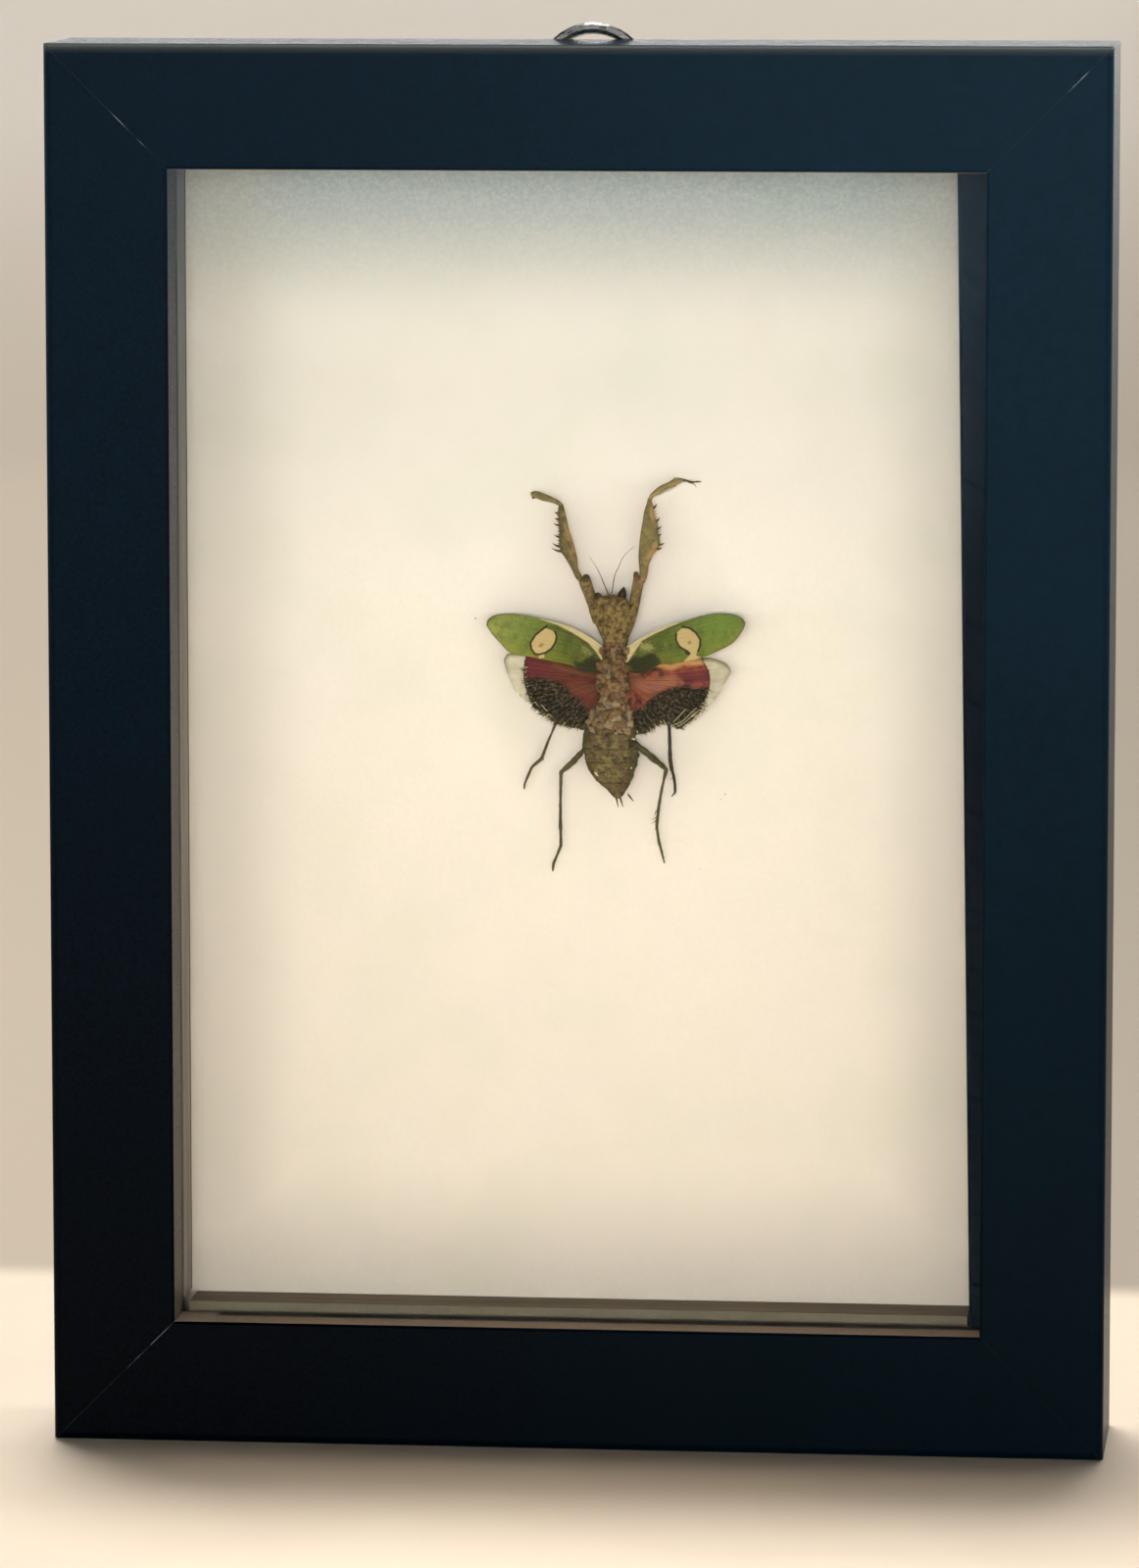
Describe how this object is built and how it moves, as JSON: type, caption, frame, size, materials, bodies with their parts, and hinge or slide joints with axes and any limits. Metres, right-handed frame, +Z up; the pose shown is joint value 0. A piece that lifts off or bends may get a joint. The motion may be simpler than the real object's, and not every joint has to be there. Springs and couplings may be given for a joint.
{
  "type": "framed mantis specimen",
  "caption": "Upright shadow-box picture frame that shows a spread flower mantis on a white board behind glass.",
  "frame": {"origin": "centre of the underside of the frame, halfway between its front and back faces", "axes": "+X to the viewer's right, +Y from the front face towards the back, +Z up"},
  "size_m": [0.153, 0.0293, 0.2056],
  "materials": {
    "frame_paint": "satin black paint with a blue cast on wood",
    "pane": "clear flat glass",
    "spacer_strip": "matt dark board",
    "white_board": "matt off-white mount board",
    "fibreboard": "bare brown fibreboard",
    "steel": "bright plated steel",
    "insect_body": "dried, mottled brown and olive cuticle",
    "forewing": "thin waxy green wing with a cream eye spot",
    "hindwing": "thin pleated wing, crimson and dark, with a clear tip",
    "insect_leg": "dried olive-brown cuticle"
  },
  "bodies": {
    "frame": {"rail_top": "frame_paint", "rail_bottom": "frame_paint", "rail_left": "frame_paint", "rail_right": "frame_paint", "glass_pane": "pane", "spacer_top": "spacer_strip", "spacer_bottom": "spacer_strip", "spacer_left": "spacer_strip", "spacer_right": "spacer_strip", "backing_board": "white_board", "back_panel": "fibreboard", "retaining_point_1": "steel", "retaining_point_2": "steel", "retaining_point_3": "steel", "retaining_point_4": "steel", "retaining_point_5": "steel", "retaining_point_6": "steel", "hanger_strap": "steel", "hanger_screw": "steel", "mantis_body": "insect_body", "forewing_left": "forewing", "forewing_right": "forewing", "hindwing_left": "hindwing", "hindwing_right": "hindwing", "foreleg_left": "insect_leg", "foreleg_right": "insect_leg", "middle_leg_left": "insect_leg", "middle_leg_right": "insect_leg", "hind_leg_left": "insect_leg", "hind_leg_right": "insect_leg"},
    "ring": {"hanger_ring": "steel"}
  },
  "joints": [
    {"name": "ring_swing", "type": "hinge", "parent": "frame", "child": "ring", "pos_m": [0, 0.01465, 0.1959], "axis": [-1, 0, 0], "range_deg": [0, 188]}
  ]
}
